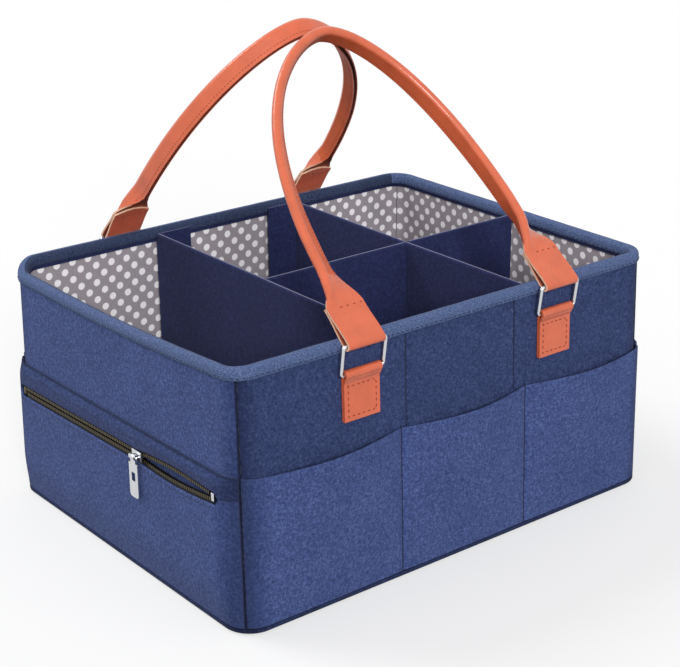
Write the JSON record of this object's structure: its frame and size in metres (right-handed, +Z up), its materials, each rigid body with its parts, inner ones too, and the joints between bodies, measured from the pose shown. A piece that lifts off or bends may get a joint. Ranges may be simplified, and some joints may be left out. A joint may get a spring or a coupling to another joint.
{
  "type": "diaper caddy",
  "caption": "Open felt caddy with a divider insert, sewn outside pockets, a zipped end pocket and two rolled leather carrying handles on swinging metal rings.",
  "frame": {"origin": "middle of the underside of the base", "axes": "+Z up, +X along the long walls away from the zipped end, the front wall faces -Y"},
  "size_m": [0.3966, 0.3114, 0.3501],
  "materials": {
    "felt_navy": "heathered matt felt",
    "binding_denim": "woven tape",
    "trim_navy": "matt woven trim",
    "lining_dots": "woven cloth with pale dots",
    "board_grey": "stiff board",
    "divider_navy": "matt felt over a stiffener",
    "leather_tan": "smooth semi-gloss",
    "ring_silver": "polished",
    "zip_brass": "dark antique",
    "zip_tape": "woven tape"
  },
  "bodies": {
    "caddy": {"base_panel": "felt_navy", "base_board": "board_grey", "floor_lining": "lining_dots", "front_wall": "felt_navy", "right_wall": "felt_navy", "back_wall": "felt_navy", "left_wall": "felt_navy", "front_board": "board_grey", "right_board": "board_grey", "back_board": "board_grey", "left_board": "board_grey", "front_lining": "lining_dots", "right_lining": "lining_dots", "back_lining": "lining_dots", "left_lining": "lining_dots", "corner_seam_front_left": "trim_navy", "corner_seam_front_right": "trim_navy", "corner_seam_back_right": "trim_navy", "corner_seam_back_left": "trim_navy", "rim_binding": "binding_denim", "inner_facing": "trim_navy", "base_piping": "trim_navy", "front_pocket": "felt_navy", "back_pocket": "felt_navy", "right_pocket": "felt_navy", "zip_pocket_lower": "felt_navy", "zip_pocket_upper": "felt_navy", "zip_tape_lower": "zip_tape", "zip_tape_upper": "zip_tape", "zip_row_lower": "zip_brass", "zip_row_upper": "zip_brass", "zip_stop_front": "zip_brass", "zip_stop_back": "zip_brass", "front_left_tab": "leather_tan", "front_right_tab": "leather_tan", "back_left_tab": "leather_tan", "back_right_tab": "leather_tan"},
    "front_rings": {"front_left_ring": "ring_silver", "front_right_ring": "ring_silver"},
    "front_handle": {"front_handle": "leather_tan"},
    "rear_rings": {"back_left_ring": "ring_silver", "back_right_ring": "ring_silver"},
    "rear_handle": {"rear_handle": "leather_tan"},
    "zip_slider": {"zip_slider": "ring_silver"},
    "zip_puller": {"zip_puller": "ring_silver"},
    "divider_insert": {"divider_left": "divider_navy", "divider_right": "divider_navy", "divider_middle": "divider_navy", "divider_end": "divider_navy"}
  },
  "joints": [
    {"name": "front_ring_swing", "type": "hinge", "parent": "caddy", "child": "front_rings", "pos_m": [0, -0.14544, 0.162], "axis": [1, 0, 0], "range_deg": [0, 60]},
    {"name": "front_handle_swing", "type": "hinge", "parent": "front_rings", "child": "front_handle", "pos_m": [0, -0.14836, 0.1828], "axis": [1, 0, 0], "range_deg": [-1, 118]},
    {"name": "rear_ring_swing", "type": "hinge", "parent": "caddy", "child": "rear_rings", "pos_m": [0, 0.14544, 0.162], "axis": [-1, 0, 0], "range_deg": [0, 60]},
    {"name": "rear_handle_swing", "type": "hinge", "parent": "rear_rings", "child": "rear_handle", "pos_m": [0, 0.14836, 0.1828], "axis": [-1, 0, 0], "range_deg": [-1, 114]},
    {"name": "zip_slide", "type": "slide", "parent": "caddy", "child": "zip_slider", "axis": [0, 0.9996, -0.0275], "range_m": [-0.079, 0.149]},
    {"name": "puller_swing", "type": "hinge", "parent": "zip_slider", "child": "zip_puller", "pos_m": [-0.19649, -0.03499, 0.09256], "axis": [0, 1, 0], "range_deg": [0, 160]},
    {"name": "divider_lift", "type": "slide", "parent": "caddy", "child": "divider_insert", "axis": [0, 0, 1], "range_m": [0, 0.08]}
  ]
}
